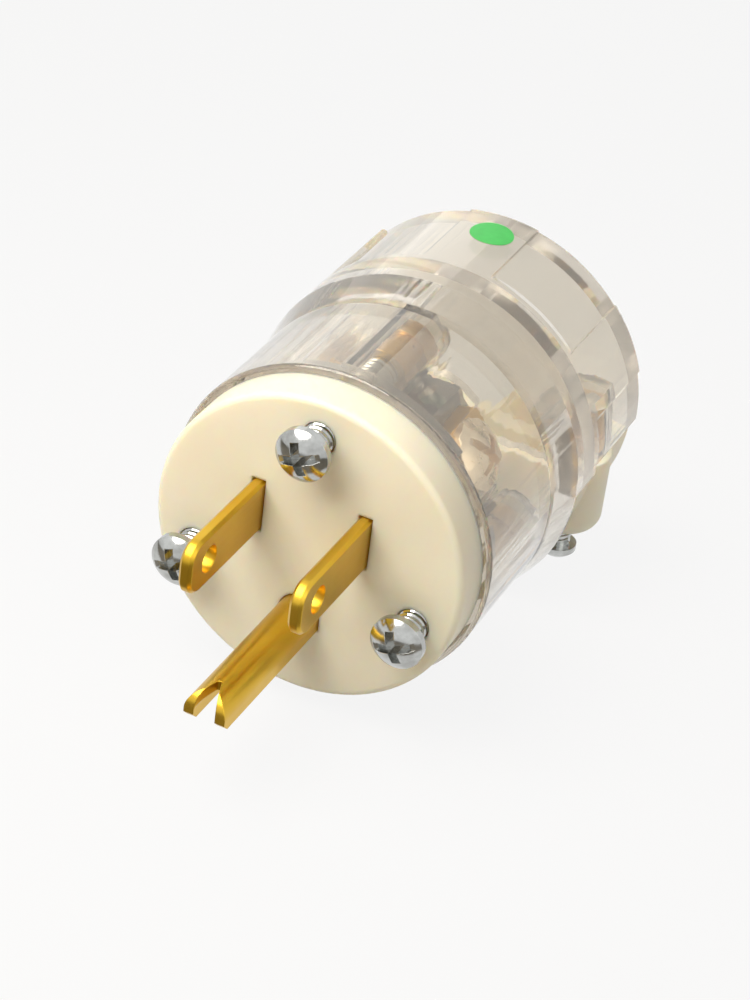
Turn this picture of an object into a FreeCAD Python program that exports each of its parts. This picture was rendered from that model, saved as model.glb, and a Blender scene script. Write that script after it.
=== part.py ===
# Grounded two-blade plug with a clear shell, modelled as its loose pieces.
# The plug's axis is Y: the front face lies in y = 0, the blades point to -Y, the ground pin is below.
import FreeCAD, Part
import os
import re
import Sketcher
from FreeCAD import Placement, Rotation, Vector

SIZES = {
    # Front face: a moulded disc with a spigot that enters the shell
    "face_radius": 18.35,
    "face_depth": 5.2,
    "face_round": 0.7,
    "spigot_depth": 1.6,
    # Clearances: sliding fits, and the loose gap round screws and tails
    "fit_gap": 0.1,
    "loose_gap": 0.3,
    "thread_gap": 0.04,
    # Blades
    "blade_spacing": 12.7,
    "blade_height": 3.3,
    "blade_width": 6.35,
    "blade_thickness": 1.5,
    "blade_length": 16.0,
    "blade_corner": 2.4,
    "blade_bevel": 0.35,
    "detent_radius": 1.6,
    "detent_from_tip": 4.1,
    "shoulder_width": 10.6,
    # Ground pin: an upturned channel with a rounded nose and a notch in its crown
    "pin_drop": 11.9,
    "pin_width": 4.8,
    "pin_leg": 1.3,
    "pin_wall": 1.15,
    "pin_length": 21.4,
    "pin_notch": 2.8,
    "pin_notch_end": 0.3,
    "pin_nose": 2.2,
    "pin_corner": 0.8,
    "pin_tab": 2.6,
    # Terminals: tails of the blades on the retainer's flats, with plate and screw
    "terminal_angle": 60.0,
    "terminal_setback": 5.2,
    "tail_lead": 1.4,
    "tail_bend": 3.8,
    "tail_length": 10.5,
    "tail_width": 8.0,
    "plate_thickness": 1.2,
    "plate_length": 9.0,
    "plate_corner": 1.0,
    "terminal_head_radius": 4.0,
    "terminal_head_height": 2.2,
    "terminal_shank_radius": 2.0,
    "terminal_shank_length": 5.6,
    # Inner retainer
    "flange_depth": 2.0,
    "stem_gap": 0.6,
    "hub_flat": 9.3,
    "hub_lead": 0.5,
    "hub_overhang": 1.5,
    "hub_gap": 1.0,
    # Shell
    "lip_step": 0.9,
    "lip_round": 0.5,
    "shell_wall": 2.2,
    "neck_length": 16.3,
    "flare_length": 5.7,
    "ring_rise": 1.0,
    "ring_length": 20.1,
    "rear_round": 0.8,
    "pad_angle": 24.0,
    "pad_count": 6,
    "panel_depth": 0.55,
    "panel_lead": 5.8,
    "panel_ramp": 1.4,
    "parting_drop": 0.4,
    # Face screws, their bosses and inserts
    "screw_inset": 3.05,
    "screw_angle": 109.0,
    "screw_head_radius": 3.05,
    "screw_head_height": 2.2,
    "screw_shank_radius": 1.65,
    "screw_standoff": 3.2,
    "screw_reach": 20.5,
    "boss_radius": 3.4,
    "boss_floor": 0.5,
    "insert_radius": 2.5,
    "insert_length": 8.0,
    "insert_sink": 5.0,
    "insert_groove": 0.35,
    "insert_land_share": 0.35,
    # Cord clamp and its screws
    "cord_radius": 5.5,
    "jaw_gap": 4.0,
    "jaw_wall": 2.5,
    "clamp_gap": 0.6,
    "clamp_inset": 0.85,
    "clamp_short": 0.7,
    "clamp_wall": 2.2,
    "clamp_screw_inset": 4.55,
    "clamp_forward": 0.9,
    "clamp_seat_wall": 0.3,
    "clamp_standoff": 3.0,
    "ear_radius": 4.5,
    "ear_round": 2.0,
    "clamp_head_radius": 2.25,
    "clamp_head_height": 1.8,
    "clamp_shank_radius": 1.25,
    "clamp_screw_reach": 5.0,
    "tower_radius": 3.0,
    "tower_floor": 1.2,
    "clamp_insert_radius": 2.1,
    "clamp_insert_length": 4.5,
    # Heads and tips of every screw, shares of the head's or shank's size, and the cross and slot
    "head_rim_share": 0.4,
    "tip_share": 0.6,
    "cross_reach_share": 0.62,
    "cross_width": 1.05,
    "cross_depth": 1.5,
    "slot_width": 0.85,
    "slot_depth": 0.8,
}

doc = FreeCAD.newDocument("grounded_plug")
sheet = doc.addObject("Spreadsheet::Sheet", "Sizes")
for row, (alias, value) in enumerate(SIZES.items(), start=1):
    sheet.set(f"A{row}", alias)
    sheet.set(f"B{row}", str(value))
    sheet.setAlias(f"B{row}", alias)
doc.recompute()


def formula(text):
    """Put the sheet's name before each size that a formula uses."""
    return re.sub(r"[a-z_]+", lambda word: f"Sizes.{word[0]}" if word[0] in SIZES else word[0], text)


def number(text):
    """Value of a formula, in millimetres or degrees."""
    return float(sheet.evalExpression(formula(text)))


def bind(thing, path, text):
    """Tie a property of an object to a formula."""
    thing.setExpression(path, formula(text))


# Places that several pieces share, as formulas of the sizes
SPIGOT_END = "(face_depth + spigot_depth)"
FLANGE_END = f"({SPIGOT_END} + flange_depth)"
NECK_RADIUS = "(face_radius + lip_step)"
BORE_RADIUS = f"({NECK_RADIUS} - shell_wall)"
RING_RADIUS = f"({NECK_RADIUS} + ring_rise)"
RING_BORE = f"({RING_RADIUS} - shell_wall)"
CLAMP_RADIUS = f"({RING_RADIUS} - clamp_inset)"
CLAMP_BORE = f"({CLAMP_RADIUS} - clamp_wall)"
CLAMP_TOP = "(-parting_drop - clamp_gap)"
FLARE_START = "(face_depth + neck_length)"
FLARE_END = f"({FLARE_START} + flare_length)"
REAR_END = f"({FLARE_END} + ring_length)"
PANEL_START = f"({FLARE_END} + panel_lead)"
PAD_PITCH = "(360 / pad_count)"
JAW_FRONT = f"({FLARE_END} + jaw_gap)"
CLAMP_REAR = f"({REAR_END} - clamp_short)"
CLAMP_STATION = f"(({JAW_FRONT} + {CLAMP_REAR}) / 2 - clamp_forward)"
BLADE_X = "(blade_spacing / 2)"
PIN_CROWN = "(blade_height - pin_drop)"
PIN_TOP = f"({PIN_CROWN} + pin_width / 2)"
PIN_BOTTOM = f"({PIN_CROWN} - pin_leg)"
TAIL_START = f"({SPIGOT_END} + tail_lead)"
TAIL_END = f"({TAIL_START} + tail_bend)"
TERMINAL_STATION = f"({TAIL_END} + terminal_setback)"
HUB_START = f"({TAIL_END} + hub_lead)"
TAIL_FACE = "(hub_flat + blade_thickness)"
TAIL_MIDDLE = "(hub_flat + blade_thickness / 2)"
PLATE_FACE = f"({TAIL_FACE} + plate_thickness)"
SCREW_CIRCLE = f"({BORE_RADIUS} - screw_inset)"
STEM_RADIUS = f"(min({BLADE_X} - blade_thickness / 2; -{PIN_TOP}) - stem_gap)"
HUB_CORNER = f"({SCREW_CIRCLE} - boss_radius - hub_gap)"
INSERT_START = f"({FLANGE_END} + insert_sink)"
INSERT_END = f"({INSERT_START} + insert_length)"
TIP_ROOM = "(screw_reach + screw_standoff + loose_gap)"
BOSS_END = f"(max({INSERT_END}; {TIP_ROOM}) + boss_floor)"
SOCKET_END = "(max(clamp_insert_length; clamp_screw_reach) + loose_gap)"
CLAMP_SCREW_X = f"({RING_RADIUS} - clamp_screw_inset)"
HEAD_ROOM = "(clamp_head_radius + fit_gap)"
CLAMP_SEAT = f"(sqrt({CLAMP_BORE} ^ 2 - ({CLAMP_SCREW_X} - {HEAD_ROOM}) ^ 2) + clamp_seat_wall)"
CLAMP_HEAD = f"({CLAMP_SEAT} + clamp_standoff)"
TERMINALS = {"neutral": "terminal_angle", "line": "-terminal_angle", "ground": "180"}
FACE_SCREWS = {"top": "0", "right": "screw_angle", "left": "-screw_angle"}
CLAMP_SIDES = {"right": "1", "left": "-1"}


def around(radius, angle):
    """Formulas for X and Z of a point at a radius, its angle counted from +Z towards +X."""
    return f"({radius}) * sin({angle})", f"({radius}) * cos({angle})"


def new_body(label):
    """Empty body for one piece; its label names the piece's file."""
    body = doc.addObject("PartDesign::Body", label)
    body.Label = label
    return body


def turn_about(thing, path, axis, angle):
    """Turn an object's placement about an axis; the turn is kept positive, as its axis flips below zero."""
    if number(angle) < 0:
        axis, angle = -axis, f"-({angle})"
    setattr(thing, path, Placement(Vector(), Rotation(axis, number(angle))))
    if number(angle) > 0:
        bind(thing, f"{path}.Rotation.Angle", angle)


def new_sketch(body, plane, name, shift=("0", "0", "0"), turn=(Vector(0, 0, 1), "0")):
    """Sketch on one of the body's own planes, moved and turned in that plane's axes."""
    sketch = body.newObject("Sketcher::SketchObject", f"{body.Name}_{name}")
    support = next(item for item in body.Origin.OriginFeatures if item.Role == plane)
    sketch.AttachmentSupport = [(support, "")]
    sketch.MapMode = "FlatFace"
    turn_about(sketch, "AttachmentOffset", *turn)
    for letter, text in zip("xyz", shift):
        if text != "0":
            bind(sketch, f"AttachmentOffset.Base.{letter}", text)
    return sketch


def hold(sketch, kind, geometry, place, text):
    """Fix one coordinate, or the radius, of sketch geometry to a formula."""
    if kind == "Radius":
        rule = Sketcher.Constraint(kind, geometry, number(text))
    else:
        rule = Sketcher.Constraint(kind, -1, 1, geometry, place, number(text))
    index = sketch.addConstraint(rule)
    bind(sketch, f"Constraints[{index}]", text)


def add_outline(sketch, corners):
    """Closed outline through corners given as formulas.

    A corner (x, y) leads to the next one by a line. A corner (x, y, centre_x, centre_y, way) leads there
    by an arc about the centre, way being +1 counter-clockwise or -1 clockwise.
    """
    points = [Vector(number(corner[0]), number(corner[1]), 0) for corner in corners]
    first = sketch.GeometryCount
    starts, ends = [], []
    for index, corner in enumerate(corners):
        here, there = points[index], points[(index + 1) % len(points)]
        if len(corner) == 2:
            sketch.addGeometry(Part.LineSegment(here, there))
            starts.append(1)
            ends.append(2)
            continue
        centre = Vector(number(corner[2]), number(corner[3]), 0)
        way = corner[4]
        low, high = (here, there) if way > 0 else (there, here)
        circle = Part.Circle(centre, Vector(0, 0, 1), (here - centre).Length)
        arc = Part.ArcOfCircle(circle, circle.parameter(low), circle.parameter(high))
        sketch.addGeometry(arc)
        starts.append(1 if way > 0 else 2)
        ends.append(2 if way > 0 else 1)
    count = len(corners)
    for index in range(count):
        following = (index + 1) % count
        joint = (first + index, ends[index], first + following, starts[following])
        sketch.addConstraint(Sketcher.Constraint("Coincident", *joint))
    for index, corner in enumerate(corners):
        hold(sketch, "DistanceX", first + index, starts[index], corner[0])
        hold(sketch, "DistanceY", first + index, starts[index], corner[1])
        if len(corner) == 5:
            chord = points[(index + 1) % count] - points[index]
            if abs(chord.x) >= abs(chord.y):
                hold(sketch, "DistanceY", first + index, 3, corner[3])
            else:
                hold(sketch, "DistanceX", first + index, 3, corner[2])


def add_rectangle(sketch, low_x, low_y, high_x, high_y):
    """Rectangle between two opposite corners."""
    add_outline(sketch, [(low_x, low_y), (high_x, low_y), (high_x, high_y), (low_x, high_y)])


def add_circle(sketch, x, y, radius):
    """Circle about a centre."""
    circle = Part.Circle(Vector(number(x), number(y), 0), Vector(0, 0, 1), number(radius))
    index = sketch.addGeometry(circle)
    hold(sketch, "DistanceX", index, 3, x)
    hold(sketch, "DistanceY", index, 3, y)
    hold(sketch, "Radius", index, 0, radius)


def feature(body, kind, name, sketch):
    """Feature of a body made from a sketch."""
    made = body.newObject(f"PartDesign::{kind}", f"{body.Name}_{name}")
    made.Profile = sketch
    return made


def pad(body, sketch, name, length, backwards=False, symmetric=False):
    """Material along the sketch's normal, or against it."""
    made = feature(body, "Pad", name, sketch)
    bind(made, "Length", length)
    made.Reversed = backwards
    made.SideType = "Symmetric" if symmetric else "One side"


def pocket(body, sketch, name, length, along=False, symmetric=False):
    """Cut against the sketch's normal, or along it."""
    made = feature(body, "Pocket", name, sketch)
    bind(made, "Length", length)
    made.Reversed = along
    made.SideType = "Symmetric" if symmetric else "One side"


def revolve(body, sketch, name, axis, angle="360", kind="Revolution"):
    """Turn a sketch about one of its own axes, adding material or cutting a groove."""
    made = feature(body, kind, name, sketch)
    made.ReferenceAxis = (sketch, [axis])
    bind(made, "Angle", angle)
    return made


def round_edges(body, name, chosen, radius, kind="Fillet"):
    """Fillet or chamfer the edges of the body's last shape that a test chooses."""
    doc.recompute()
    base = body.Tip
    names = [f"Edge{n}" for n, edge in enumerate(base.Shape.Edges, start=1) if chosen(edge)]
    made = body.newObject(f"PartDesign::{kind}", f"{body.Name}_{name}")
    made.Base = (base, names)
    bind(made, "Radius" if kind == "Fillet" else "Size", radius)


def is_ring(edge, station, radius):
    """Whether an edge is a circle, or part of one, about the plug's axis."""
    curve = edge.Curve
    if not isinstance(curve, Part.Circle):
        return False
    off_axis = abs(curve.Center.x) + abs(curve.Center.z)
    return (off_axis < 0.01 and abs(curve.Center.y - number(station)) < 0.01
            and abs(curve.Radius - number(radius)) < 0.01)


def place(body, base, axis, angle):
    """Put a body made at the origin to its place, turned about an axis."""
    turn_about(body, "Placement", axis, angle)
    for letter, text in zip("xyz", base):
        if text != "0":
            bind(body, f"Placement.Base.{letter}", text)


def radial_sketch(body, name, angle, radius):
    """Sketch that faces outwards at an angle about the plug's axis; its x is the station along the plug."""
    out_x, out_z = around(radius, angle)
    return new_sketch(body, "YZ_Plane", name, ("0", out_z, out_x), (Vector(1, 0, 0), f"({angle}) - 90"))


def channel(sketch, grow):
    """Section of the ground pin: an upturned channel, grown by a gap where it is a slot for the pin."""
    outer = f"(pin_width / 2 + {grow})"
    inner = f"(pin_width / 2 - pin_wall - {grow})"
    bottom = f"({PIN_BOTTOM} - {grow})"
    add_outline(sketch, [
        (f"-{outer}", bottom),
        (f"-{outer}", PIN_CROWN, "0", PIN_CROWN, -1),
        (outer, PIN_CROWN),
        (outer, bottom),
        (inner, bottom),
        (inner, PIN_CROWN, "0", PIN_CROWN, 1),
        (f"-{inner}", PIN_CROWN),
        (f"-{inner}", bottom),
    ])


def make_front_face():
    """Nylon disc with slots for the blades and the pin and a spigot behind."""
    body = new_body("front_face")
    profile = new_sketch(body, "YZ_Plane", "profile")
    spigot = f"({BORE_RADIUS} - fit_gap)"
    add_outline(profile, [
        ("0", "0"), (SPIGOT_END, "0"), (SPIGOT_END, spigot),
        ("face_depth", spigot), ("face_depth", "face_radius"), ("0", "face_radius"),
    ])
    revolve(body, profile, "turned", "H_Axis")
    half_strip = "(blade_thickness / 2 + fit_gap)"
    half_blade = "(blade_width / 2 + fit_gap)"
    half_shoulder = "(shoulder_width / 2 + fit_gap)"
    slots = new_sketch(body, "XZ_Plane", "slots")
    for side in (f"-{BLADE_X}", BLADE_X):
        near, far = f"{side} - {half_strip}", f"{side} + {half_strip}"
        add_rectangle(slots, near, f"blade_height - {half_blade}", far, f"blade_height + {half_blade}")
    channel(slots, "fit_gap")
    pocket(body, slots, "slots_cut", SPIGOT_END)
    seats = new_sketch(body, "XZ_Plane", "seats", ("0", "0", f"-{SPIGOT_END}"))
    for side in (f"-{BLADE_X}", BLADE_X):
        near, far = f"{side} - {half_strip}", f"{side} + {half_strip}"
        add_rectangle(seats, near, f"blade_height - {half_shoulder}", far, f"blade_height + {half_shoulder}")
    tab = "(pin_width / 2 + pin_tab + fit_gap)"
    add_rectangle(seats, f"-{tab}", f"{PIN_BOTTOM} - fit_gap", tab, f"{PIN_CROWN} + fit_gap")
    pocket(body, seats, "seats_cut", "spigot_depth", along=True)
    holes = new_sketch(body, "XZ_Plane", "screw_holes")
    for angle in FACE_SCREWS.values():
        add_circle(holes, *around(SCREW_CIRCLE, angle), "screw_shank_radius + loose_gap")
    pocket(body, holes, "screw_holes_cut", SPIGOT_END)
    round_edges(body, "rim", lambda edge: is_ring(edge, "0", "face_radius"), "face_round")


def make_blade(label, side, angle):
    """Flat brass blade with shoulders behind the face and a twisted tail that carries the terminal."""
    body = new_body(label)
    middle = f"{side} * {BLADE_X}"
    low, high = "(blade_height - blade_width / 2)", "(blade_height + blade_width / 2)"
    wide_low, wide_high = "(blade_height - shoulder_width / 2)", "(blade_height + shoulder_width / 2)"
    flat = new_sketch(body, "YZ_Plane", "flat", ("0", "0", middle))
    corner_y = "(-blade_length + blade_corner)"
    corner_low, corner_high = f"({low} + blade_corner)", f"({high} - blade_corner)"
    add_outline(flat, [
        (corner_y, low), ("face_depth", low), ("face_depth", wide_low),
        (SPIGOT_END, wide_low), (SPIGOT_END, low), (TAIL_START, low),
        (TAIL_START, high), (SPIGOT_END, high), (SPIGOT_END, wide_high),
        ("face_depth", wide_high), ("face_depth", high), (corner_y, high, corner_y, corner_high, 1),
        ("-blade_length", corner_high), ("-blade_length", corner_low, corner_y, corner_low, 1),
    ])
    pad(body, flat, "strip", "blade_thickness", symmetric=True)
    corner_end = number(corner_y) + 0.01

    def is_tip_edge(edge):
        ends = [vertex.Point for vertex in edge.Vertexes]
        return all(end.y < corner_end for end in ends) and abs(ends[0].x - ends[-1].x) < 0.01

    round_edges(body, "tip", is_tip_edge, "blade_bevel", kind="Chamfer")
    detent = new_sketch(body, "YZ_Plane", "detent", ("0", "0", middle))
    add_circle(detent, "-blade_length + detent_from_tip", "blade_height", "detent_radius")
    pocket(body, detent, "detent_cut", "2 * blade_thickness", symmetric=True)
    root = new_sketch(body, "XZ_Plane", "root", ("0", "0", f"-{TAIL_START}"))
    add_rectangle(root, f"{middle} - blade_thickness / 2", low, f"{middle} + blade_thickness / 2", high)
    terminal_x, terminal_z = around(TAIL_MIDDLE, angle)
    seat = new_sketch(body, "XZ_Plane", "seat", (terminal_x, terminal_z, f"-{TAIL_END}"),
                      (Vector(0, 0, 1), f"{side} * (90 - terminal_angle)"))
    add_rectangle(seat, "-blade_thickness / 2", "-tail_width / 2", "blade_thickness / 2", "tail_width / 2")
    bend = feature(body, "AdditiveLoft", "bend", root)
    bend.Sections = [seat]
    bend.Ruled = True
    pad(body, seat, "tail", "tail_length", backwards=True)
    thread = radial_sketch(body, "thread", angle, TAIL_MIDDLE)
    add_circle(thread, TERMINAL_STATION, "0", "terminal_shank_radius + thread_gap")
    pocket(body, thread, "thread_cut", "3 * blade_thickness", symmetric=True)


def make_ground_pin():
    """Brass channel with a notched, rounded nose, tabs behind the face and a terminal tail."""
    body = new_body("ground_pin")
    section = new_sketch(body, "XZ_Plane", "section", ("0", "0", "pin_length"))
    channel(section, "0")
    pad(body, section, "channel", f"pin_length + {TAIL_START}", backwards=True)
    inner = "(pin_width / 2 - pin_wall)"
    tip, past_tip, notch_end = "-pin_length", "(-pin_length - pin_wall)", "(-pin_length + pin_notch)"
    notch = new_sketch(body, "XY_Plane", "notch", ("0", "0", PIN_CROWN))
    add_outline(notch, [
        (f"-{inner}", past_tip), (inner, past_tip), (inner, tip),
        ("pin_notch_end", notch_end, "0", notch_end, 1), ("-pin_notch_end", notch_end), (f"-{inner}", tip),
    ])
    pocket(body, notch, "notch_cut", "pin_width", along=True)
    nose = new_sketch(body, "YZ_Plane", "nose")
    nose_y, nose_z, above = f"({tip} + pin_nose)", f"({PIN_TOP} - pin_nose)", f"({PIN_TOP} + pin_wall)"
    add_outline(nose, [
        (past_tip, nose_z), (tip, nose_z, nose_y, nose_z, -1), (nose_y, PIN_TOP),
        (nose_y, above), (past_tip, above),
    ])
    pocket(body, nose, "nose_cut", "2 * pin_width", symmetric=True)
    corner = new_sketch(body, "YZ_Plane", "lower_corner")
    below = f"({PIN_BOTTOM} - pin_wall)"
    add_outline(corner, [
        (past_tip, below), (f"{tip} + pin_corner + pin_wall", below),
        (past_tip, f"{PIN_BOTTOM} + pin_corner + pin_wall"),
    ])
    pocket(body, corner, "lower_corner_cut", "2 * pin_width", symmetric=True)
    tabs = new_sketch(body, "XZ_Plane", "tabs", ("0", "0", "-face_depth"))
    legs = new_sketch(body, "XZ_Plane", "legs", ("0", "0", f"-{TAIL_START}"))
    for low, high, wide in ((inner, "pin_width / 2", "pin_width / 2 + pin_tab"),
                            ("-pin_width / 2", f"-{inner}", "-pin_width / 2 - pin_tab")):
        near, far = (low, wide) if wide.startswith("pin") else (wide, high)
        add_rectangle(tabs, near, PIN_BOTTOM, far, PIN_CROWN)
        add_rectangle(legs, low, f"-{TAIL_FACE}", high, PIN_CROWN)
    pad(body, tabs, "tabs_added", "spigot_depth", backwards=True)
    pad(body, legs, "legs_added", "tail_bend", backwards=True)
    tail = new_sketch(body, "XZ_Plane", "tail", ("0", "0", f"-{TAIL_START}"))
    add_rectangle(tail, "-tail_width / 2", f"-{TAIL_FACE}", "tail_width / 2", "-hub_flat")
    pad(body, tail, "tail_added", "tail_bend + tail_length", backwards=True)
    thread = radial_sketch(body, "thread", TERMINALS["ground"], TAIL_MIDDLE)
    add_circle(thread, TERMINAL_STATION, "0", "terminal_shank_radius + thread_gap")
    pocket(body, thread, "thread_cut", "3 * blade_thickness", symmetric=True)


def make_inner_retainer():
    """Clear insulator: a flange notched for the tails, a stem, and a hub with a flat for each terminal."""
    body = new_body("inner_retainer")
    flange = new_sketch(body, "XZ_Plane", "flange", ("0", "0", f"-{SPIGOT_END}"))
    add_circle(flange, "0", "0", f"{BORE_RADIUS} - loose_gap")
    pad(body, flange, "flange_added", "flange_depth", backwards=True)
    half = "(tail_width / 2 + loose_gap / 2)"
    for name, angle in TERMINALS.items():
        notch = new_sketch(body, "XZ_Plane", f"{name}_notch", ("0", "0", f"-{SPIGOT_END}"),
                           (Vector(0, 0, 1), f"-({angle})"))
        add_rectangle(notch, f"-{half}", f"{STEM_RADIUS} - loose_gap", half, f"{BORE_RADIUS} + shell_wall")
        pocket(body, notch, f"{name}_notch_cut", "flange_depth")
    stem = new_sketch(body, "XZ_Plane", "stem", ("0", "0", f"-{SPIGOT_END}"))
    add_circle(stem, "0", "0", STEM_RADIUS)
    pad(body, stem, "stem_added", f"{HUB_START} - {SPIGOT_END}", backwards=True)
    hub = new_sketch(body, "XZ_Plane", "hub", ("0", "0", f"-{HUB_START}"))
    flats = [
        ("0", HUB_CORNER), ("terminal_angle", "hub_flat"), ("(90 + terminal_angle / 2)", HUB_CORNER),
        ("180", "hub_flat"), ("(270 - terminal_angle / 2)", HUB_CORNER),
        ("(360 - terminal_angle)", "hub_flat"),
    ]
    corners = []
    for (angle, reach), (next_angle, next_reach) in zip(flats, flats[1:] + flats[:1]):
        step = f"({next_angle} - {angle})"
        run = f"(({next_reach} - {reach} * cos({step})) / sin({step}))"
        corners.append((f"{reach} * sin({angle}) + {run} * cos({angle})",
                        f"{reach} * cos({angle}) - {run} * sin({angle})"))
    add_outline(hub, corners)
    pad(body, hub, "hub_added", "tail_length - hub_lead + hub_overhang", backwards=True)
    holes = new_sketch(body, "XZ_Plane", "screw_holes", ("0", "0", f"-{SPIGOT_END}"))
    for angle in FACE_SCREWS.values():
        add_circle(holes, *around(SCREW_CIRCLE, angle), "screw_shank_radius + loose_gap")
    pocket(body, holes, "screw_holes_cut", "flange_depth")
    depth = "terminal_shank_length - blade_thickness - plate_thickness + loose_gap"
    for name, angle in TERMINALS.items():
        room = radial_sketch(body, f"{name}_room", angle, "hub_flat")
        add_circle(room, TERMINAL_STATION, "0", "terminal_shank_radius + loose_gap")
        pocket(body, room, f"{name}_room_cut", depth)


def make_clamp_plate(label, angle):
    """Pressure plate between a terminal screw's head and the blade's tail."""
    body = new_body(label)
    flat = new_sketch(body, "XY_Plane", "flat", ("0", "0", TAIL_FACE))
    add_rectangle(flat, "-tail_width / 2", f"{TERMINAL_STATION} - plate_length / 2",
                  "tail_width / 2", f"{TERMINAL_STATION} + plate_length / 2")
    add_circle(flat, "0", TERMINAL_STATION, "terminal_shank_radius + fit_gap")
    pad(body, flat, "plate", "plate_thickness")

    def is_upright(edge):
        ends = [vertex.Point for vertex in edge.Vertexes]
        rise, across = abs(ends[0].z - ends[-1].z), abs(ends[0].x)
        return abs(rise - number("plate_thickness")) < 0.01 and abs(across - number("tail_width / 2")) < 0.01

    round_edges(body, "corners", is_upright, "plate_corner")
    place(body, ("0", "0", "0"), Vector(0, 1, 0), angle)


def make_screw(label, head_radius, head_height, shank_radius, shank_length, spin):
    """Domed screw along its own Z with the head's underside in z = 0 and a cross and slot in the head."""
    body = new_body(label)
    profile = new_sketch(body, "YZ_Plane", "profile")
    rim = f"({head_height} * head_rim_share)"
    crown = f"({head_height} - {rim})"
    middle = f"({head_height} - ({head_radius} * {head_radius} + {crown} * {crown}) / (2 * {crown}))"
    tip = f"({shank_radius} * tip_share)"
    add_outline(profile, [
        ("0", f"-({shank_length})"), (tip, f"-({shank_length})"),
        (shank_radius, f"-({shank_length}) + {shank_radius} - {tip}"), (shank_radius, "0"),
        (head_radius, "0"), (head_radius, rim, "0", middle, 1), ("0", head_height),
    ])
    revolve(body, profile, "turned", "V_Axis")
    arm, half = f"({head_radius} * cross_reach_share)", "(cross_width / 2)"
    cross = new_sketch(body, "XY_Plane", "cross", ("0", "0", head_height), (Vector(0, 0, 1), spin))
    add_outline(cross, [
        (arm, f"-{half}"), (arm, half), (half, half), (half, arm), (f"-{half}", arm), (f"-{half}", half),
        (f"-{arm}", half), (f"-{arm}", f"-{half}"), (f"-{half}", f"-{half}"), (f"-{half}", f"-{arm}"),
        (half, f"-{arm}"), (half, f"-{half}"),
    ])
    pocket(body, cross, "cross_cut", "cross_depth")
    slot = new_sketch(body, "XY_Plane", "slot", ("0", "0", head_height), (Vector(0, 0, 1), spin))
    past, across = f"({head_radius} + slot_width)", "(slot_width / 2)"
    add_rectangle(slot, f"-{past}", f"-{across}", past, across)
    pocket(body, slot, "slot_cut", "slot_depth")
    return body


def make_insert(label, radius, length, bore):
    """Threaded brass sleeve along its own Z, grooved outside to hold in the moulding."""
    body = new_body(label)
    profile = new_sketch(body, "YZ_Plane", "profile")
    waist = f"({radius} - insert_groove)"
    land = f"({length} * insert_land_share)"
    add_outline(profile, [
        (bore, "0"), (radius, "0"), (radius, f"-{land}"), (waist, f"-{land}"),
        (waist, f"{land} - {length}"), (radius, f"{land} - {length}"),
        (radius, f"-{length}"), (bore, f"-{length}"),
    ])
    revolve(body, profile, "turned", "V_Axis")
    return body


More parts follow.
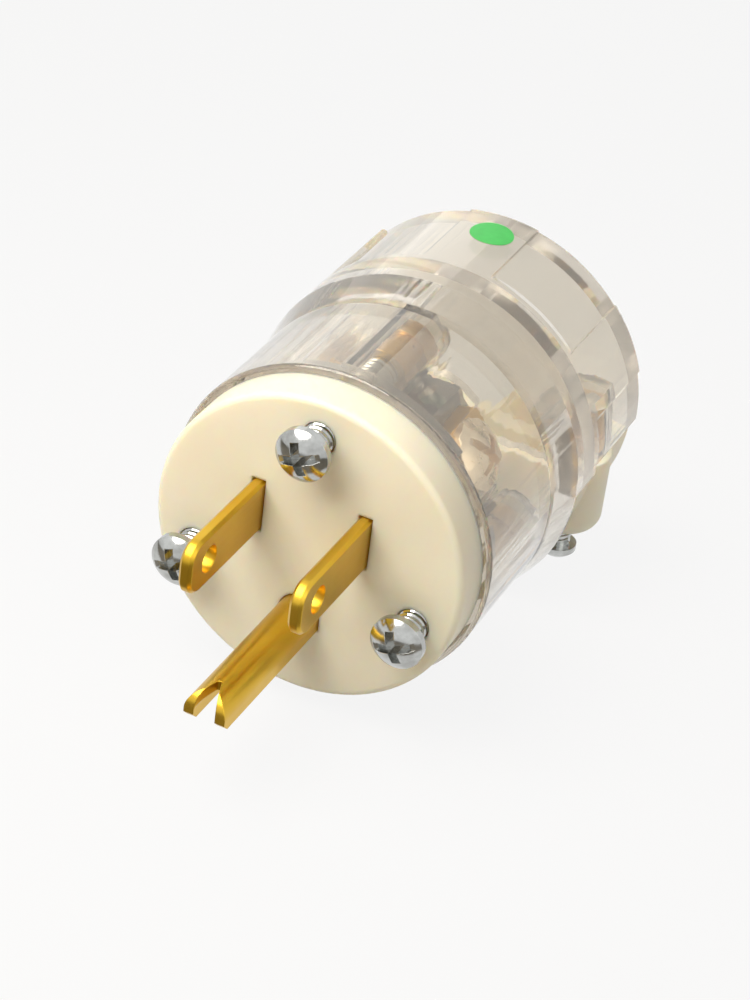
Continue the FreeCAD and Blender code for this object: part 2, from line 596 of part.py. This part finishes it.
def make_shell():
    """Clear housing: lip, neck, flare and grip ring, its rear lower half left open for the cord clamp."""
    body = new_body("clear_shell")
    profile = new_sketch(body, "YZ_Plane", "profile")
    lip_y, lip_r = "(face_depth + lip_round)", f"({NECK_RADIUS} - lip_round)"
    rear_y, rear_r = f"({REAR_END} - rear_round)", f"({RING_RADIUS} - rear_round)"
    add_outline(profile, [
        ("face_depth", BORE_RADIUS), ("face_depth", lip_r, lip_y, lip_r, -1), (lip_y, NECK_RADIUS),
        (FLARE_START, NECK_RADIUS), (FLARE_END, RING_RADIUS),
        (rear_y, RING_RADIUS, rear_y, rear_r, -1), (REAR_END, rear_r),
        (REAR_END, "cord_radius"), (f"{REAR_END} - jaw_wall", "cord_radius"),
        (f"{REAR_END} - jaw_wall", RING_BORE), (f"{JAW_FRONT} + jaw_wall", RING_BORE),
        (f"{JAW_FRONT} + jaw_wall", "cord_radius"), (JAW_FRONT, "cord_radius"), (JAW_FRONT, BORE_RADIUS),
    ])
    revolve(body, profile, "turned", "H_Axis")
    panel = new_sketch(body, "YZ_Plane", "panel", turn=(Vector(1, 0, 0), "pad_angle / 2"))
    proud, floor = f"({RING_RADIUS} + panel_depth)", f"({RING_RADIUS} - panel_depth)"
    add_outline(panel, [
        (f"{PANEL_START} - panel_ramp", proud), (f"{PANEL_START} + panel_ramp", floor),
        (f"{REAR_END} + shell_wall", floor), (f"{REAR_END} + shell_wall", proud),
    ])
    groove = revolve(body, panel, "panel_cut", "H_Axis", f"{PAD_PITCH} - pad_angle", kind="Groove")
    ring = body.newObject("PartDesign::PolarPattern", "clear_shell_panels")
    ring.Originals = [groove]
    ring.Axis = (profile, ["H_Axis"])
    ring.Angle = 360
    bind(ring, "Occurrences", "round(pad_count)")
    body.Tip = ring
    below = new_sketch(body, "XZ_Plane", "below", ("0", "0", f"-{FLARE_END}"))
    wide = f"(2 * {RING_RADIUS})"
    add_rectangle(below, f"-{wide}", f"-{wide}", wide, "-parting_drop")
    pocket(body, below, "below_cut", REAR_END)
    bosses = new_sketch(body, "XZ_Plane", "bosses", ("0", "0", f"-{FLANGE_END}"))
    rooms = new_sketch(body, "XZ_Plane", "insert_rooms", ("0", "0", f"-{FLANGE_END}"))
    tips = new_sketch(body, "XZ_Plane", "tip_rooms", ("0", "0", f"-{FLANGE_END}"))
    for angle in FACE_SCREWS.values():
        add_circle(bosses, *around(SCREW_CIRCLE, angle), "boss_radius")
        add_circle(rooms, *around(SCREW_CIRCLE, angle), "insert_radius + thread_gap")
        add_circle(tips, *around(SCREW_CIRCLE, angle), "screw_shank_radius + loose_gap")
    pad(body, bosses, "bosses_added", f"{BOSS_END} - {FLANGE_END}", backwards=True)
    pocket(body, rooms, "insert_rooms_cut", "insert_sink + insert_length")
    pocket(body, tips, "tip_rooms_cut", f"{TIP_ROOM} - {FLANGE_END}")
    towers = new_sketch(body, "XY_Plane", "towers", ("0", "0", "-parting_drop"))
    sockets = new_sketch(body, "XY_Plane", "sockets", ("0", "0", "-parting_drop"))
    for side in CLAMP_SIDES.values():
        add_circle(towers, f"{side} * {CLAMP_SCREW_X}", CLAMP_STATION, "tower_radius")
        add_circle(sockets, f"{side} * {CLAMP_SCREW_X}", CLAMP_STATION, "clamp_insert_radius + thread_gap")
    pad(body, towers, "towers_added", f"parting_drop + {SOCKET_END} + tower_floor")
    pocket(body, sockets, "sockets_cut", f"parting_drop + {SOCKET_END}", along=True)


def make_cord_clamp():
    """Nylon saddle that closes the ring below the cord, with a rounded ear for each screw."""
    body = new_body("cord_clamp")
    profile = new_sketch(body, "YZ_Plane", "profile")
    front_y, rear_y = f"({JAW_FRONT} + rear_round)", f"({CLAMP_REAR} - rear_round)"
    edge_r = f"({CLAMP_RADIUS} - rear_round)"
    rib_front, rib_rear = f"({CLAMP_STATION} - jaw_wall / 2)", f"({CLAMP_STATION} + jaw_wall / 2)"
    add_outline(profile, [
        (JAW_FRONT, "cord_radius"), (JAW_FRONT, edge_r, front_y, edge_r, -1), (front_y, CLAMP_RADIUS),
        (rear_y, CLAMP_RADIUS, rear_y, edge_r, -1), (CLAMP_REAR, edge_r), (CLAMP_REAR, "cord_radius"),
        (f"{CLAMP_REAR} - jaw_wall", "cord_radius"), (f"{CLAMP_REAR} - jaw_wall", CLAMP_BORE),
        (rib_rear, CLAMP_BORE), (rib_rear, "cord_radius"),
        (rib_front, "cord_radius"), (rib_front, CLAMP_BORE),
        (f"{JAW_FRONT} + jaw_wall", CLAMP_BORE), (f"{JAW_FRONT} + jaw_wall", "cord_radius"),
    ])
    revolve(body, profile, "turned", "H_Axis")
    above = new_sketch(body, "XZ_Plane", "above", ("0", "0", f"-{FLARE_END}"))
    wide = f"(2 * {RING_RADIUS})"
    add_rectangle(above, f"-{wide}", CLAMP_TOP, wide, wide)
    pocket(body, above, "above_cut", REAR_END)
    ear_in, round_z = "(ear_radius - ear_round)", f"(-{CLAMP_SEAT} + ear_round)"
    for name, side in CLAMP_SIDES.items():
        spot = (f"{side} * {CLAMP_SCREW_X}", "0", f"-{CLAMP_STATION}")
        ear = new_sketch(body, "XZ_Plane", f"{name}_ear", spot)
        add_outline(ear, [
            ("0", f"-{CLAMP_SEAT}"), (ear_in, f"-{CLAMP_SEAT}", ear_in, round_z, 1),
            ("ear_radius", round_z), ("ear_radius", CLAMP_TOP), ("0", CLAMP_TOP),
        ])
        revolve(body, ear, f"{name}_ear_added", "V_Axis")
    seats = new_sketch(body, "XY_Plane", "seats", ("0", "0", f"-{CLAMP_SEAT}"))
    holes = new_sketch(body, "XY_Plane", "holes", ("0", "0", f"-{CLAMP_SEAT}"))
    for side in CLAMP_SIDES.values():
        add_circle(seats, f"{side} * {CLAMP_SCREW_X}", CLAMP_STATION, HEAD_ROOM)
        add_circle(holes, f"{side} * {CLAMP_SCREW_X}", CLAMP_STATION, "clamp_shank_radius + loose_gap")
    pocket(body, seats, "seats_cut", CLAMP_RADIUS)
    pocket(body, holes, "holes_cut", CLAMP_SEAT, along=True)


make_front_face()
make_blade("line_blade", "-1", TERMINALS["line"])
make_blade("neutral_blade", "1", TERMINALS["neutral"])
make_ground_pin()
make_inner_retainer()
for name, angle in TERMINALS.items():
    make_clamp_plate(f"{name}_clamp_plate", angle)
    screw = make_screw(f"{name}_terminal_screw", "terminal_head_radius", "terminal_head_height",
                       "terminal_shank_radius", "terminal_shank_length", "35")
    seat_x, seat_z = around(PLATE_FACE, angle)
    place(screw, (seat_x, TERMINAL_STATION, seat_z), Vector(0, 1, 0), angle)
make_shell()
for name, angle in FACE_SCREWS.items():
    circle_x, circle_z = around(SCREW_CIRCLE, angle)
    insert = make_insert(f"{name}_face_insert", "insert_radius", "insert_length",
                         "(screw_shank_radius + thread_gap)")
    place(insert, (circle_x, INSERT_START, circle_z), Vector(1, 0, 0), "90")
    screw = make_screw(f"{name}_face_screw", "screw_head_radius", "screw_head_height",
                       "screw_shank_radius", "screw_standoff + screw_reach", "20")
    place(screw, (circle_x, "-screw_standoff", circle_z), Vector(1, 0, 0), "90")
make_cord_clamp()
for name, side in CLAMP_SIDES.items():
    screw_x = f"{side} * {CLAMP_SCREW_X}"
    insert = make_insert(f"{name}_clamp_insert", "clamp_insert_radius", "clamp_insert_length",
                         "(clamp_shank_radius + thread_gap)")
    place(insert, (screw_x, CLAMP_STATION, "clamp_insert_length"), Vector(1, 0, 0), "0")
    screw = make_screw(f"{name}_clamp_screw", "clamp_head_radius", "clamp_head_height",
                       "clamp_shank_radius", f"{CLAMP_HEAD} + clamp_screw_reach", "15")
    place(screw, (screw_x, CLAMP_STATION, f"-{CLAMP_HEAD}"), Vector(1, 0, 0), "180")
doc.recompute()

failed = [item.Name for item in doc.Objects if {"Invalid", "Error"} & set(item.State)]
pieces = [item for item in doc.Objects if item.TypeId == "PartDesign::Body"]
failed += [piece.Label for piece in pieces if piece.Shape.isNull() or not piece.Shape.isValid()]
if failed:
    raise RuntimeError("these did not build: " + ", ".join(failed))
os.makedirs("parts", exist_ok=True)
for piece in pieces:
    piece.Shape.exportStep(f"parts/{piece.Label}.step")
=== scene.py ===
import math

import bmesh
import bpy
from mathutils import Matrix, Vector


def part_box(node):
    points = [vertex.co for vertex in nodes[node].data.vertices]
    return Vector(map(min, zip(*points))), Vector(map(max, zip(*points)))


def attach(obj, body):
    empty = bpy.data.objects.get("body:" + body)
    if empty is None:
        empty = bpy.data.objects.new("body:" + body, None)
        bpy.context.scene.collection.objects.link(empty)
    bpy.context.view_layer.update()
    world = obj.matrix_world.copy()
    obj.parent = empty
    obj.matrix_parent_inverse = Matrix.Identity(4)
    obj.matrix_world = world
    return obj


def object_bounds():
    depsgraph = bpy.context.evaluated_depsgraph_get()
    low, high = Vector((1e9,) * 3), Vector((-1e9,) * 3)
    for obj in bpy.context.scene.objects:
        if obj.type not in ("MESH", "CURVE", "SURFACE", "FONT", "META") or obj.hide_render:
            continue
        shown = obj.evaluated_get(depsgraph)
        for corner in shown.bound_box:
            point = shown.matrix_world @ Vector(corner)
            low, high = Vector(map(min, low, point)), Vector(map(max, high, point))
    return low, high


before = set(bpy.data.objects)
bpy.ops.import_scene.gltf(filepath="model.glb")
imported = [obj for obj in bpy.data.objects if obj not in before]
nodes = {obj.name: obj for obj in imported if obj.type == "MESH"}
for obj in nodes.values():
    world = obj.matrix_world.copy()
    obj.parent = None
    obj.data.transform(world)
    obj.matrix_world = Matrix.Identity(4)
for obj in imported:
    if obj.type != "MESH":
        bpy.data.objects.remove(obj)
cad_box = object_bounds()
MM = 0.001


# Front face: one disc of cream nylon, moulded with slots for the blades and the pin.
# It is satin and a little translucent, so light glows in it, and flow marks show faintly.
def new_finish(name, colour, roughness, metallic=0.0):
    """Material with its shader's plain numbers set; returns it with its tree and shader."""
    finish = bpy.data.materials.new(name)
    finish.use_nodes = True
    tree = finish.node_tree
    shader = tree.nodes["Principled BSDF"]
    shader.inputs["Base Color"].default_value = (*colour, 1)
    shader.inputs["Roughness"].default_value = roughness
    shader.inputs["Metallic"].default_value = metallic
    return finish, tree, shader


def add_noise(tree, scale, stretch=(1, 1, 1), detail=4, roughness=0.5):
    """Noise in the piece's own coordinates; scale is in turns per metre."""
    place = tree.nodes.new("ShaderNodeTexCoord")
    mapping = tree.nodes.new("ShaderNodeMapping")
    mapping.inputs["Scale"].default_value = stretch
    noise = tree.nodes.new("ShaderNodeTexNoise")
    noise.inputs["Scale"].default_value = scale
    noise.inputs["Detail"].default_value = detail
    noise.inputs["Roughness"].default_value = roughness
    tree.links.new(place.outputs["Object"], mapping.inputs["Vector"])
    tree.links.new(mapping.outputs["Vector"], noise.inputs["Vector"])
    return noise.outputs["Fac"]


def add_ramp(tree, value, stops):
    """Colour ramp over a value; stops are (position, colour)."""
    ramp = tree.nodes.new("ShaderNodeValToRGB")
    points = ramp.color_ramp.elements
    while len(points) < len(stops):
        points.new(0.5)
    for point, (position, colour) in zip(points, stops):
        point.position = position
        point.color = (*colour, 1)
    tree.links.new(value, ramp.inputs["Fac"])
    return ramp.outputs["Color"]


def add_range(tree, value, low, high, start=0.3, end=0.7):
    """Value spread over a range of numbers."""
    spread = tree.nodes.new("ShaderNodeMapRange")
    spread.inputs["From Min"].default_value = start
    spread.inputs["From Max"].default_value = end
    spread.inputs["To Min"].default_value = low
    spread.inputs["To Max"].default_value = high
    tree.links.new(value, spread.inputs["Value"])
    return spread.outputs["Result"]


def add_relief(tree, shader, height, strength, depth):
    """Surface relief from a height value, depth in millimetres; returns the bump node."""
    bump = tree.nodes.new("ShaderNodeBump")
    bump.inputs["Strength"].default_value = strength
    bump.inputs["Distance"].default_value = depth * MM
    tree.links.new(height, bump.inputs["Height"])
    tree.links.new(bump.outputs["Normal"], shader.inputs["Normal"])
    return bump


def ease_edges(tree, bump, radius):
    """Round sharp edges in the shading under a relief, by a radius in millimetres."""
    eased = tree.nodes.new("ShaderNodeBevel")
    eased.samples = 4
    eased.inputs["Radius"].default_value = radius * MM
    tree.links.new(eased.outputs["Normal"], bump.inputs["Normal"])


def finish_node(node, finish):
    """Give a solid its finish."""
    mesh = nodes[node].data
    mesh.materials.clear()
    mesh.materials.append(finish)


def nylon_finish(name, light, deep, roughness):
    """Moulded nylon: satin, a little translucent, faintly mottled."""
    finish, tree, shader = new_finish(name, light, roughness)
    shader.inputs["Subsurface Weight"].default_value = 0.5
    shader.inputs["Subsurface Radius"].default_value = (1.0, 0.6, 0.25)
    shader.inputs["Subsurface Scale"].default_value = 2.5 * MM
    shader.inputs["IOR"].default_value = 1.52
    flow = add_noise(tree, scale=75, detail=3, roughness=0.55)
    tree.links.new(add_ramp(tree, flow, [(0.3, deep), (0.65, light)]), shader.inputs["Base Color"])
    grain = add_noise(tree, scale=3200, detail=2)
    tree.links.new(add_range(tree, grain, roughness - 0.05, roughness + 0.07), shader.inputs["Roughness"])
    ease_edges(tree, add_relief(tree, shader, grain, strength=0.12, depth=0.03), radius=0.45)
    return finish


cream_nylon = nylon_finish("cream_nylon", light=(0.93, 0.855, 0.67), deep=(0.9, 0.815, 0.61), roughness=0.4)
finish_node("front_face", cream_nylon)


# Blades and ground pin: stamped from brass strip, the pin folded to a channel, set in the face from behind.
# Rolling leaves fine lines along them, and handling dulls them a little in patches.
def brass_finish(name, bright, dull, roughness, grain):
    """Brass with grain lines along one direction and duller patches."""
    finish, tree, shader = new_finish(name, bright, roughness, metallic=1.0)
    patches = add_noise(tree, scale=120, detail=3, roughness=0.45)
    tree.links.new(add_ramp(tree, patches, [(0.3, dull), (0.7, bright)]), shader.inputs["Base Color"])
    lines = add_noise(tree, scale=4200, stretch=grain, detail=2)
    tree.links.new(add_range(tree, lines, roughness - 0.03, roughness + 0.03), shader.inputs["Roughness"])
    ease_edges(tree, add_relief(tree, shader, lines, strength=0.05, depth=0.01), radius=0.2)
    return finish


blade_brass = brass_finish("blade_brass", bright=(0.75, 0.475, 0.05), dull=(0.61, 0.37, 0.03),
                           roughness=0.32, grain=(1, 0.03, 1))
for node in ("line_blade", "neutral_blade", "ground_pin"):
    finish_node(node, blade_brass)


# Inner retainer: clear insulator behind the face that traps the blades and keeps the terminals apart.
# It is moulded in the same clear plastic as the shell, which looks beige where light crosses a lot of it.
def add_math(tree, operation, first, second):
    """Math node on two values, each an output or a plain number; returns its result."""
    node = tree.nodes.new("ShaderNodeMath")
    node.operation = operation
    for socket, value in zip(node.inputs, (first, second)):
        if isinstance(value, float):
            socket.default_value = value
        else:
            tree.links.new(value, socket)
    return node.outputs[0]


def clear_finish(name, tint, roughness, depth_tint, density):
    """Clear moulded plastic with streaked sides, tinted at each wall and by the depth light crosses."""
    finish, tree, shader = new_finish(name, tint, roughness)
    shader.inputs["Transmission Weight"].default_value = 0.96
    shader.inputs["IOR"].default_value = 1.5
    shader.inputs["Coat Weight"].default_value = 0.5
    shader.inputs["Coat Roughness"].default_value = 0.02
    streaks = add_noise(tree, scale=400, stretch=(1, 0.07, 1), detail=2)
    tree.links.new(add_range(tree, streaks, roughness * 0.6, roughness * 1.5), shader.inputs["Roughness"])
    relief = add_relief(tree, shader, streaks, strength=0.42, depth=0.27)

    # Streaks run along the plug and fade where a wall faces its front or rear
    place = tree.nodes.new("ShaderNodeTexCoord")
    facing = tree.nodes.new("ShaderNodeSeparateXYZ")
    tree.links.new(place.outputs["Normal"], facing.inputs["Vector"])
    squared = add_math(tree, "MULTIPLY", facing.outputs["Y"], facing.outputs["Y"])
    sideways = add_math(tree, "SUBTRACT", 1.0, squared)
    strength = add_math(tree, "MULTIPLY", sideways, relief.inputs["Strength"].default_value)
    tree.links.new(strength, relief.inputs["Strength"])

    depth = tree.nodes.new("ShaderNodeVolumeAbsorption")
    depth.inputs["Color"].default_value = (*depth_tint, 1)
    depth.inputs["Density"].default_value = density
    tree.links.new(depth.outputs["Volume"], tree.nodes["Material Output"].inputs["Volume"])
    return finish


clear_plastic = clear_finish("clear_plastic", tint=(0.83, 0.795, 0.725), roughness=0.03,
                             depth_tint=(0.8, 0.755, 0.69), density=55)
finish_node("inner_retainer", clear_plastic)


# Terminals: a stamped brass plate and a binding screw on the tail of each blade and of the pin.
# The screws tell the wires apart: nickel for neutral, brass for line, green for ground.
def plated_finish(name, bright, dull, roughness):
    """Bright plated steel with faint stains and fine turning marks."""
    finish, tree, shader = new_finish(name, bright, roughness, metallic=1.0)
    stains = add_noise(tree, scale=500, detail=4, roughness=0.55)
    tree.links.new(add_ramp(tree, stains, [(0.35, dull), (0.6, bright)]), shader.inputs["Base Color"])
    tree.links.new(add_range(tree, stains, roughness - 0.04, roughness + 0.07), shader.inputs["Roughness"])
    marks = add_noise(tree, scale=4200, detail=2)
    ease_edges(tree, add_relief(tree, shader, marks, strength=0.1, depth=0.015), radius=0.1)
    return finish


plate_brass = brass_finish("plate_brass", bright=(0.74, 0.5, 0.16), dull=(0.6, 0.38, 0.1),
                           roughness=0.3, grain=(0.05, 1, 1))
nickel_plate = plated_finish("nickel_plate", bright=(0.94, 0.83, 0.65), dull=(0.8, 0.67, 0.48),
                             roughness=0.28)
green_plate = plated_finish("green_plate", bright=(0.1, 0.42, 0.16), dull=(0.05, 0.28, 0.09),
                            roughness=0.3)
for terminal, screw_finish in (("neutral", nickel_plate), ("line", plate_brass), ("ground", green_plate)):
    finish_node(f"{terminal}_clamp_plate", plate_brass)
    finish_node(f"{terminal}_terminal_screw", screw_finish)


# Shell: one clear moulded housing with a grip ring, slid over the terminals from behind.
# Turned brass inserts sit in its bosses and towers and take the screws.
finish_node("clear_shell", clear_plastic)
for insert in ("top_face", "right_face", "left_face", "right_clamp", "left_clamp"):
    finish_node(f"{insert}_insert", plate_brass)

# Lamps shine straight through the clear walls on what is behind them
for clear_node in ("inner_retainer", "clear_shell"):
    nodes[clear_node].visible_shadow = False


# Face screws: zinc-plated steel with a cross and a slot, which draw the shell against the face.
# They stand proud until the plug is wired, so the rolled thread shows under their heads.
FACE_SCREW_STANDOFF = 3.2
FACE_SHANK_RADIUS = 1.65
FACE_PITCH = 0.8
THREAD_DEPTH = 0.2
THREAD_CLEAR = 0.35
THREAD_STEPS = 24
RIDGE_HALF_SHARE = 0.46


def add_piece(name, shape, finish):
    """Link a finished mesh as a piece that rides with the plug."""
    bmesh.ops.recalc_face_normals(shape, faces=shape.faces)
    mesh = bpy.data.meshes.new(name)
    shape.to_mesh(mesh)
    shape.free()
    mesh.materials.append(finish)
    piece = bpy.data.objects.new(name, mesh)
    bpy.context.scene.collection.objects.link(piece)
    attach(piece, "root")


def add_thread(name, foot, axis, shank_radius, pitch, length):
    """Ridge that winds up a shank from its foot along an axis; the foot in metres, sizes in millimetres."""
    shape = bmesh.new()
    half = pitch * RIDGE_HALF_SHARE
    section = ((shank_radius - THREAD_DEPTH, -half), (shank_radius + THREAD_DEPTH, 0),
               (shank_radius - THREAD_DEPTH, half))
    profile = shape.faces.new([shape.verts.new((radius, 0, height)) for radius, height in section])
    turns = length / pitch
    steps = round(turns * THREAD_STEPS)
    bmesh.ops.spin(shape, geom=[profile, *profile.edges, *profile.verts], cent=(0, 0, 0), axis=(0, 0, 1),
                   dvec=(0, 0, length / steps), angle=turns * math.tau, steps=steps)
    turn = Vector((0, 0, 1)).rotation_difference(axis).to_matrix().to_4x4()
    place = Matrix.Translation(foot) @ turn @ Matrix.Scale(MM, 4)
    bmesh.ops.transform(shape, matrix=place, verts=shape.verts)
    add_piece(name, shape, zinc_plate)


zinc_plate = plated_finish("zinc_plate", bright=(0.54, 0.55, 0.535), dull=(0.4, 0.405, 0.39),
                           roughness=0.14)
for side in ("top", "right", "left"):
    screw = f"{side}_face_screw"
    finish_node(screw, zinc_plate)
    low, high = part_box(screw)
    foot = Vector(((low.x + high.x) / 2, (THREAD_CLEAR - FACE_SCREW_STANDOFF) * MM, (low.z + high.z) / 2))
    insert_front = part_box(f"{side}_face_insert")[0].y
    add_thread(f"{screw}_thread", foot, Vector((0, 1, 0)), FACE_SHANK_RADIUS, FACE_PITCH,
               (insert_front - foot.y) / MM - THREAD_CLEAR)


# Cord clamp: a saddle that closes the ring from below, moulded in the same cream nylon as the face.
# Its two zinc-plated screws stand proud of the saddle's ears, as the face screws do.
CLAMP_HEAD_HEIGHT = 1.7
CLAMP_SHANK_RADIUS = 1.25
CLAMP_PITCH = 0.6

finish_node("cord_clamp", cream_nylon)
for side in ("right", "left"):
    screw = f"{side}_clamp_screw"
    finish_node(screw, zinc_plate)
    low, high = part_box(screw)
    foot_height = low.z + (CLAMP_HEAD_HEIGHT + THREAD_CLEAR) * MM
    foot = Vector(((low.x + high.x) / 2, (low.y + high.y) / 2, foot_height))
    insert_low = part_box(f"{side}_clamp_insert")[0].z
    add_thread(f"{screw}_thread", foot, Vector((0, 0, 1)), CLAMP_SHANK_RADIUS, CLAMP_PITCH,
               (insert_low - foot.z) / MM - THREAD_CLEAR)


# Green dot: a spot of ink, pad-printed on top of the grip ring near its rear edge.
# The film is thin and follows the ring's curve.
DOT_RADIUS = 2.58
DOT_STATION = 41.8
DOT_ASIDE = 0.45
DOT_THICKNESS = 0.05
DOT_LIFT = 0.01
DOT_STRIPS = 12
DOT_SEGMENTS = 72
ring_radius = cad_box[1].z / MM

dot = bmesh.new()
bmesh.ops.create_circle(dot, cap_ends=True, segments=DOT_SEGMENTS, radius=DOT_RADIUS)
for strip in range(1, DOT_STRIPS):
    cut = DOT_RADIUS * (2 * strip / DOT_STRIPS - 1)
    everything = [*dot.verts, *dot.edges, *dot.faces]
    bmesh.ops.bisect_plane(dot, geom=everything, plane_co=(cut, 0, 0), plane_no=(1, 0, 0))
bmesh.ops.recalc_face_normals(dot, faces=dot.faces)
bmesh.ops.solidify(dot, geom=dot.faces, thickness=DOT_THICKNESS)
for vert in dot.verts:
    reach = ring_radius + DOT_LIFT + abs(vert.co.z)
    turn = (vert.co.x + DOT_ASIDE) / ring_radius
    vert.co = Vector((reach * math.sin(turn), DOT_STATION + vert.co.y, reach * math.cos(turn))) * MM

green_ink, ink_tree, ink_shader = new_finish("green_ink", (0.05, 0.52, 0.085), 0.42)
ink_film = add_noise(ink_tree, scale=900, detail=3)
ink_stops = [(0.3, (0.046, 0.49, 0.078)), (0.7, (0.054, 0.55, 0.092))]
ink_tree.links.new(add_ramp(ink_tree, ink_film, ink_stops), ink_shader.inputs["Base Color"])
add_relief(ink_tree, ink_shader, ink_film, strength=0.1, depth=0.02)
add_piece("green_dot", dot, green_ink)


# Studio: white paper under the plug and a white sky, seen as white but adding little light.
# A dark card lies in front, hidden from the camera, from matt light and from shadows, so it only paints
# dark reflections into bright metal and glass.
FLOOR_HALF_SIDE = 3.0
FLOOR_GAP = 0.2
PAPER_WHITENESS = 0.88
CARD_HALF_SIDE = 0.22
CARD_SPOT = (-0.05, -0.24)
LAMP_AIM = Vector((0, 0.01, 0))


def add_sheet(name, half_side, centre):
    """Level square of paper or card in the studio; half its side and its centre are in metres."""
    shape = bmesh.new()
    bmesh.ops.create_grid(shape, x_segments=1, y_segments=1, size=half_side)
    bmesh.ops.translate(shape, verts=shape.verts, vec=centre)
    mesh = bpy.data.meshes.new(name)
    shape.to_mesh(mesh)
    shape.free()
    sheet = bpy.data.objects.new(name, mesh)
    bpy.context.scene.collection.objects.link(sheet)
    return sheet


def seen_directly(tree):
    """1 for camera, glossy and transmission rays that have met nothing matt so far, 0 for the rest."""
    path = tree.nodes.new("ShaderNodeLightPath")
    mirrored = add_math(tree, "MAXIMUM", path.outputs["Is Glossy Ray"], path.outputs["Is Transmission Ray"])
    seen = add_math(tree, "MAXIMUM", path.outputs["Is Camera Ray"], mirrored)
    return add_math(tree, "MULTIPLY", seen, add_math(tree, "LESS_THAN", path.outputs["Diffuse Depth"], 0.5))


floor = add_sheet("floor", FLOOR_HALF_SIDE, (0, 0, cad_box[0].z - FLOOR_GAP * MM))
paper, paper_tree, paper_matt = new_finish("paper", (0.52, 0.5, 0.47), 0.9)
paper_white = paper_tree.nodes.new("ShaderNodeEmission")
paper_white.inputs["Color"].default_value = (1, 1, 1, 1)
paper_mix = paper_tree.nodes.new("ShaderNodeMixShader")
paper_share = add_math(paper_tree, "MULTIPLY", seen_directly(paper_tree), PAPER_WHITENESS)
paper_tree.links.new(paper_share, paper_mix.inputs["Fac"])
paper_tree.links.new(paper_matt.outputs[0], paper_mix.inputs[1])
paper_tree.links.new(paper_white.outputs[0], paper_mix.inputs[2])
paper_tree.links.new(paper_mix.outputs[0], paper_tree.nodes["Material Output"].inputs["Surface"])
floor.data.materials.append(paper)

# Painted dark reflection: this sheet is seen only in mirror-like reflections, never directly
card = add_sheet("dark_reflection_card", CARD_HALF_SIDE, (*CARD_SPOT, cad_box[0].z))
card.visible_camera = False
card.visible_diffuse = False
card.visible_transmission = False
card.visible_shadow = False
card.data.materials.append(new_finish("dark_reflection_card", (0.17, 0.15, 0.12), 0.8)[0])

world = bpy.data.worlds.new("studio")
bpy.context.scene.world = world
world.use_nodes = True
sky_tree = world.node_tree
ambient = sky_tree.nodes["Background"]
ambient.inputs["Color"].default_value = (1, 0.985, 0.96, 1)
ambient.inputs["Strength"].default_value = 0.34
white = sky_tree.nodes.new("ShaderNodeBackground")
white.inputs["Color"].default_value = (1, 1, 1, 1)
sky_mix = sky_tree.nodes.new("ShaderNodeMixShader")
sky_tree.links.new(seen_directly(sky_tree), sky_mix.inputs["Fac"])
sky_tree.links.new(ambient.outputs[0], sky_mix.inputs[1])
sky_tree.links.new(white.outputs[0], sky_mix.inputs[2])
sky_tree.links.new(sky_mix.outputs[0], sky_tree.nodes["World Output"].inputs["Surface"])


def add_lamp(name, spot, size, power, colour):
    """Round soft lamp that looks at the plug; spot and size are in metres, power in watts."""
    data = bpy.data.lights.new(name, "AREA")
    data.shape = "DISK"
    data.size = size
    data.energy = power
    data.color = colour
    lamp = bpy.data.objects.new(name, data)
    lamp.location = spot
    lamp.rotation_euler = (LAMP_AIM - Vector(spot)).to_track_quat("-Z", "Y").to_euler()
    bpy.context.scene.collection.objects.link(lamp)


add_lamp("key", (-0.06, -0.07, 0.15), size=0.16, power=0.41, colour=(1, 0.97, 0.92))
add_lamp("fill", (0.4, -0.1, 0.2), size=0.3, power=0.25, colour=(1, 0.98, 0.96))
add_lamp("window", (-0.295, 0.49, 0.23), size=0.36, power=0.16, colour=(1, 1, 0.97))

# Light passes many clear walls on its way through the shell
bpy.context.scene.cycles.max_bounces = 24
bpy.context.scene.cycles.glossy_bounces = 16
bpy.context.scene.cycles.transmission_bounces = 24


# Camera: the photograph's view, from the right and above, turned a little about its own axis.
# Its place and lens come from fitting the blades' and the face's known sizes to the picture.
camera_data = bpy.data.cameras.new("camera")
camera_data.sensor_width = 36
camera_data.lens = 103.92
camera_data.clip_start = 0.01
camera_data.clip_end = 20
camera = bpy.data.objects.new("camera", camera_data)
camera.location = (0.100342, -0.234584, 0.173743)
camera.rotation_euler = [math.radians(angle) for angle in (56.6515, -6.3194, 25.8169)]
bpy.context.scene.collection.objects.link(camera)
bpy.context.scene.camera = camera
bpy.context.scene.view_settings.view_transform = "Standard"
